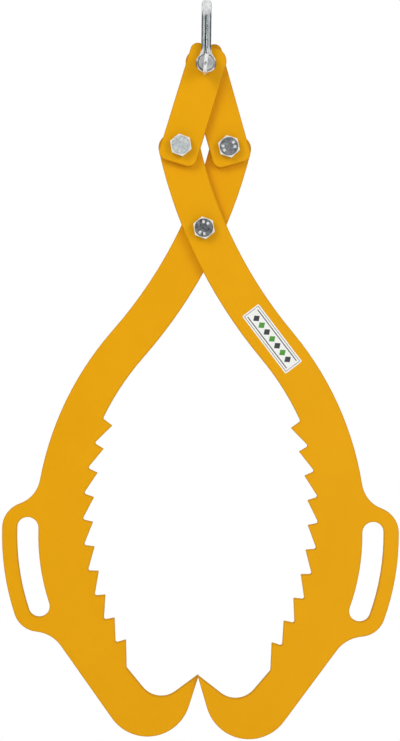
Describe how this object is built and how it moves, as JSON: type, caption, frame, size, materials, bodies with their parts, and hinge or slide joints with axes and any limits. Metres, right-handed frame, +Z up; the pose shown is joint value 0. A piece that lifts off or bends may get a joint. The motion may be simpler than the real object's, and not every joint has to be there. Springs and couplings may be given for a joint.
{
  "type": "log tongs",
  "caption": "Scissor log tongs: curved toothed plate arms with hooked tips and hand slots cross at a bolt and hang by links from a shackle, whose pull closes the jaws on a log.",
  "frame": {"origin": "underside of the shackle's crown, midway between its legs, where a hook bears", "axes": "+Z up along the pull, +X across the jaws towards the right-hand hand slot, +Y to the back along the log"},
  "size_m": [0.4824, 0.0975, 0.897],
  "materials": {
    "yellow_paint": "satin yellow powder coat",
    "zinc_steel": "zinc plated",
    "galvanised_steel": "bright galvanised forging",
    "nylon": "plain nylon",
    "label_film": "white film with a thin border and printed dark and green lozenges"
  },
  "bodies": {
    "shackle": {"shackle_bow": "galvanised_steel", "shackle_pin": "galvanised_steel"},
    "left_link_set": {"left_link": "yellow_paint", "left_link_bolt": "zinc_steel", "left_link_washer": "zinc_steel", "left_link_nut": "zinc_steel", "left_link_nut_insert": "nylon"},
    "right_link_set": {"right_link": "yellow_paint", "right_link_bolt": "zinc_steel", "right_link_washer": "zinc_steel", "right_link_nut": "zinc_steel", "right_link_nut_insert": "nylon"},
    "front_arm_set": {"front_arm": "yellow_paint", "label": "label_film", "centre_pivot_bolt": "zinc_steel", "centre_pivot_washer": "zinc_steel", "centre_pivot_nut": "zinc_steel", "centre_pivot_nut_insert": "nylon"},
    "rear_arm_set": {"rear_arm": "yellow_paint"}
  },
  "joints": [
    {"name": "swing", "type": "hinge", "parent": "shackle", "child": "left_link_set", "pos_m": [0, 0, -0.068], "axis": [0, 1, 0], "range_deg": [-45, 45]},
    {"name": "open", "type": "hinge", "parent": "left_link_set", "child": "right_link_set", "pos_m": [0, 0, -0.068], "axis": [0, -1, 0], "range_deg": [0, 90]},
    {"name": "front_arm_pivot", "type": "hinge", "parent": "left_link_set", "child": "front_arm_set", "pos_m": [-0.02908, 0, -0.16681], "axis": [0, -1, 0], "range_deg": [0, 90]},
    {"name": "rear_arm_pivot", "type": "hinge", "parent": "right_link_set", "child": "rear_arm_set", "pos_m": [0.02908, 0, -0.16681], "axis": [0, 1, 0], "range_deg": [0, 90]}
  ],
  "couplings": [
    {"joint": "front_arm_pivot", "follows": "open", "ratio": 1},
    {"joint": "rear_arm_pivot", "follows": "open", "ratio": 1}
  ]
}
